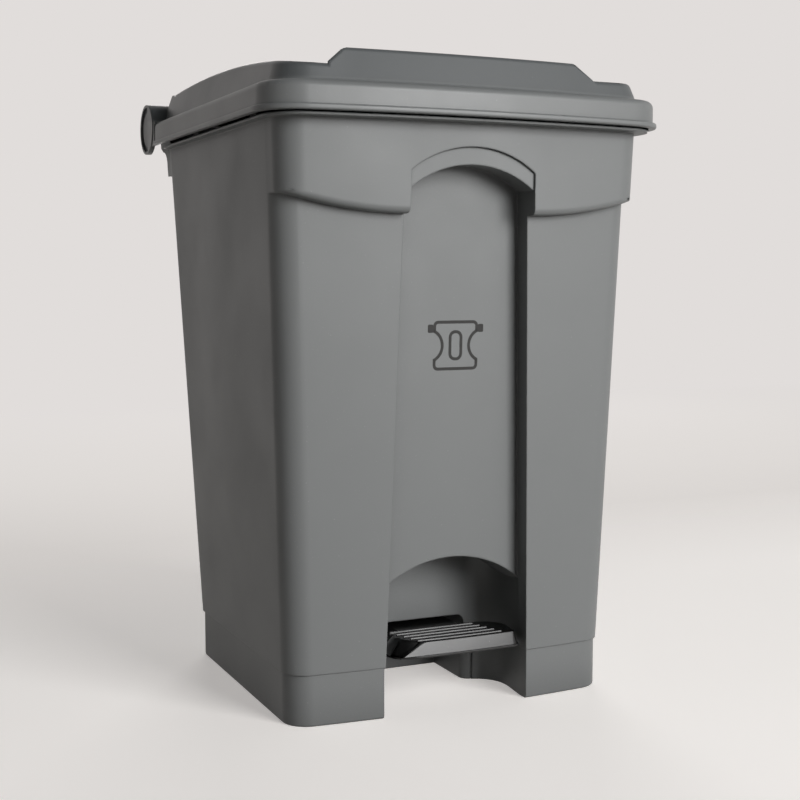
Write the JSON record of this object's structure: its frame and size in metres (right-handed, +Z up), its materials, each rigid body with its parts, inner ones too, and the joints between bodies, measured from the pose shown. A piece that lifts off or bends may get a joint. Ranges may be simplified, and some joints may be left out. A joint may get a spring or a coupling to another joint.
{
  "type": "nappy bin",
  "caption": "Step-on nappy bin: tapered plastic tub on a plinth base, domed lid on rear hinge pins, foot pedal that lifts the lid through a lever and rod.",
  "frame": {"origin": "on the floor under the middle of the bin's bounding box", "axes": "+Z up, +Y to the hinge side, so the pedal faces -Y; +X to the right of a person who looks along +Y"},
  "size_m": [0.4, 0.449, 0.6032],
  "materials": {
    "body_plastic": "fine matte moulded polypropylene",
    "lid_plastic": "fine matte moulded polypropylene",
    "pedal_plastic": "satin black moulded nylon",
    "steel": "zinc plated",
    "nylon": "natural",
    "rubber": "matt"
  },
  "bodies": {
    "bin": {"body": "body_plastic", "base": "body_plastic", "base_screws": "steel", "lid_buffers": "rubber", "axle_bushes": "nylon", "rod_guide_lower": "nylon", "rod_guide_upper": "nylon", "guide_screws": "steel", "pedal_stop": "rubber"},
    "lid": {"lid": "lid_plastic", "hinge_pin_left": "body_plastic", "hinge_pin_right": "body_plastic"},
    "pedal": {"pedal": "pedal_plastic", "pedal_lever": "steel", "pedal_screws": "steel", "pedal_axle": "steel", "axle_clips": "steel"},
    "rod": {"lift_rod": "steel", "rod_foot_clip": "steel", "rod_top_clip": "steel"}
  },
  "joints": [
    {"name": "lid_hinge", "type": "hinge", "parent": "bin", "child": "lid", "pos_m": [0, 0.198, 0.564], "axis": [-1, 0, 0], "range_deg": [0, 75]},
    {"name": "pedal_pivot", "type": "hinge", "parent": "bin", "child": "pedal", "pos_m": [0, -0.008, 0.04443], "axis": [1, 0, 0], "range_deg": [0, 13.97]},
    {"name": "rod_slide", "type": "slide", "parent": "bin", "child": "rod", "axis": [0, 0.1108, 0.9938], "range_m": [0, 0.03107]}
  ],
  "couplings": [
    {"joint": "pedal_pivot", "follows": "lid_hinge", "ratio": 0.18613},
    {"joint": "rod_slide", "follows": "lid_hinge", "m_per_rad": 0.023718}
  ]
}
